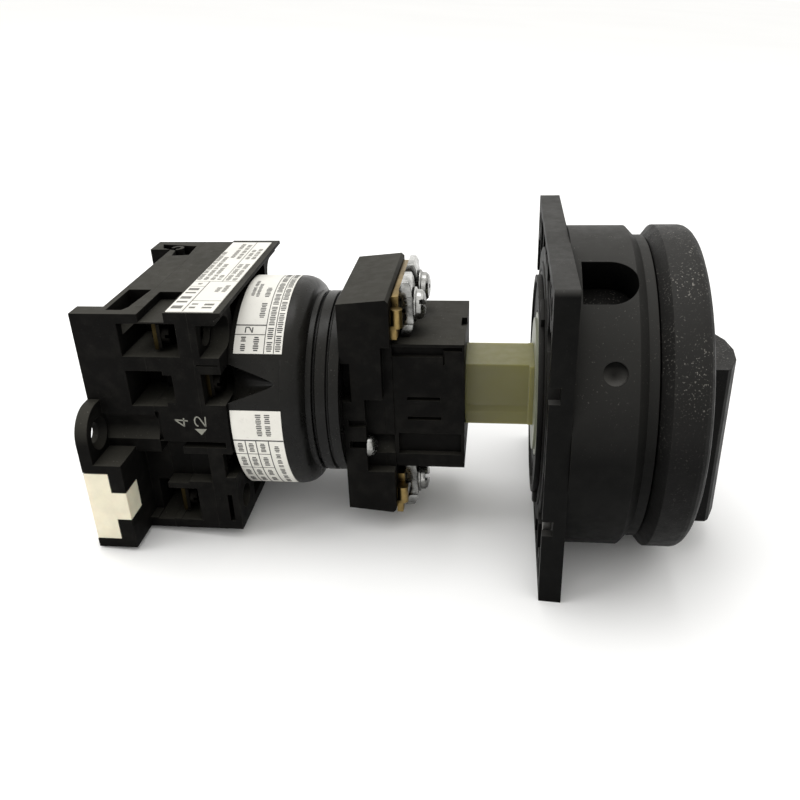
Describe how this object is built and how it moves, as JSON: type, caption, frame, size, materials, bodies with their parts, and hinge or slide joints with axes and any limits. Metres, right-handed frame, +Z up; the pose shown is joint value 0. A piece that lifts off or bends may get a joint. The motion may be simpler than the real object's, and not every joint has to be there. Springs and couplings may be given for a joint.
{
  "type": "rotary switch",
  "caption": "Rotary cam switch with rail foot, two contact chambers, nylon extension shaft and a square door plate with padlockable round knob.",
  "frame": {"origin": "on the shaft axis at the rear mounting plane of the rail foot", "axes": "+X along the shaft towards the knob, +Z up as in the picture, +Y away from the viewer"},
  "size_m": [0.1281, 0.0664, 0.0664],
  "materials": {
    "block_black": "moulded thermoplastic, slight sheen, dusty",
    "handle_black": "moulded plastic, finely textured on the knob",
    "cream_plastic": "smooth moulded plastic",
    "nylon": "translucent moulded nylon",
    "pale_plastic": "smooth moulded plastic",
    "red_plastic": "smooth moulded plastic",
    "label": "plain printed film",
    "brass": "stamped sheet",
    "zinc_plated": "zinc plated",
    "steel": "plain steel",
    "spring_steel": "drawn wire"
  },
  "bodies": {
    "switch_block": {"mounting_base": "block_black", "slider_spring": "spring_steel", "contact_chamber_1": "block_black", "contact_chamber_2": "block_black", "marker_label": "label", "terminal_strips_1": "brass", "terminal_strips_2": "brass", "terminal_screws_1": "zinc_plated", "terminal_screws_2": "zinc_plated", "chamber_screws": "steel", "contact_spring_1_upper": "spring_steel", "contact_spring_1_lower": "spring_steel", "contact_spring_2_upper": "spring_steel", "contact_spring_2_lower": "spring_steel", "latch_drum": "block_black", "rating_label_upper": "label", "rating_label_lower": "label", "bearing_cap": "block_black", "latch_spring_near": "spring_steel", "latch_spring_far": "spring_steel", "terminal_housing": "block_black", "shaft_tower": "block_black", "upper_bus_bar": "brass", "lower_bus_bar": "brass", "upper_saddles": "zinc_plated", "lower_saddles": "zinc_plated", "upper_bus_screws": "zinc_plated", "lower_bus_screws": "zinc_plated", "housing_screws": "zinc_plated"},
    "rotor": {"cam_spindle": "steel", "cam_disc_1": "pale_plastic", "cam_disc_2": "pale_plastic", "latch_star": "pale_plastic", "extension_shaft": "nylon"},
    "rail_lock": {"rail_slider": "cream_plastic"},
    "latch_a": {"latch_near": "red_plastic"},
    "latch_b": {"latch_far": "red_plastic"},
    "door_unit": {"door_plate": "handle_black", "lock_collar": "handle_black", "plate_screws": "steel"},
    "handle": {"knob": "handle_black", "drive_disc": "nylon", "retaining_ring": "handle_black", "drive_screws": "steel"},
    "contact_1_upper": {"plunger_1_upper": "red_plastic", "bridge_1_upper": "brass"},
    "contact_1_lower": {"plunger_1_lower": "red_plastic", "bridge_1_lower": "brass"},
    "contact_2_upper": {"plunger_2_upper": "red_plastic", "bridge_2_upper": "brass"},
    "contact_2_lower": {"plunger_2_lower": "red_plastic", "bridge_2_lower": "brass"}
  },
  "joints": [
    {"name": "door_pull", "type": "slide", "parent": "switch_block", "child": "door_unit", "axis": [1, 0, 0], "range_m": [0, 0.008]},
    {"name": "handle_turn", "type": "hinge", "parent": "door_unit", "child": "handle", "pos_m": [0.1, 0, 0], "axis": [-1, 0, 0], "range_deg": [0, 90]},
    {"name": "rotor_turn", "type": "hinge", "parent": "switch_block", "child": "rotor", "pos_m": [0.04, 0, 0], "axis": [-1, 0, 0], "range_deg": [0, 90]},
    {"name": "rail_slide", "type": "slide", "parent": "switch_block", "child": "rail_lock", "axis": [0, -1, 0], "range_m": [0, 0.004], "stiffness_N_per_m": 500, "deforming": ["slider_spring"]},
    {"name": "latch_a_slide", "type": "slide", "parent": "switch_block", "child": "latch_a", "axis": [0, 1, 0], "range_m": [0, 0.0016], "deforming": ["latch_spring_near"]},
    {"name": "latch_b_slide", "type": "slide", "parent": "switch_block", "child": "latch_b", "axis": [0, -1, 0], "range_m": [0, 0.0016], "deforming": ["latch_spring_far"]},
    {"name": "contact_1_upper_slide", "type": "slide", "parent": "switch_block", "child": "contact_1_upper", "axis": [0, 0, -1], "range_m": [0, 0.002], "deforming": ["contact_spring_1_upper"]},
    {"name": "contact_1_lower_slide", "type": "slide", "parent": "switch_block", "child": "contact_1_lower", "axis": [0, 0, 1], "range_m": [0, 0.002], "deforming": ["contact_spring_1_lower"]},
    {"name": "contact_2_upper_slide", "type": "slide", "parent": "switch_block", "child": "contact_2_upper", "axis": [0, 0, -1], "range_m": [0, 0.002], "deforming": ["contact_spring_2_upper"]},
    {"name": "contact_2_lower_slide", "type": "slide", "parent": "switch_block", "child": "contact_2_lower", "axis": [0, 0, 1], "range_m": [0, 0.002], "deforming": ["contact_spring_2_lower"]}
  ],
  "couplings": [
    {"joint": "rotor_turn", "follows": "handle_turn", "ratio": 1},
    {"joint": "contact_1_upper_slide", "follows": "handle_turn", "m_per_rad": 0.001273},
    {"joint": "contact_1_lower_slide", "follows": "handle_turn", "m_per_rad": 0.001273},
    {"joint": "contact_2_upper_slide", "follows": "handle_turn", "m_per_rad": 0.001273},
    {"joint": "contact_2_lower_slide", "follows": "handle_turn", "m_per_rad": 0.001273}
  ]
}
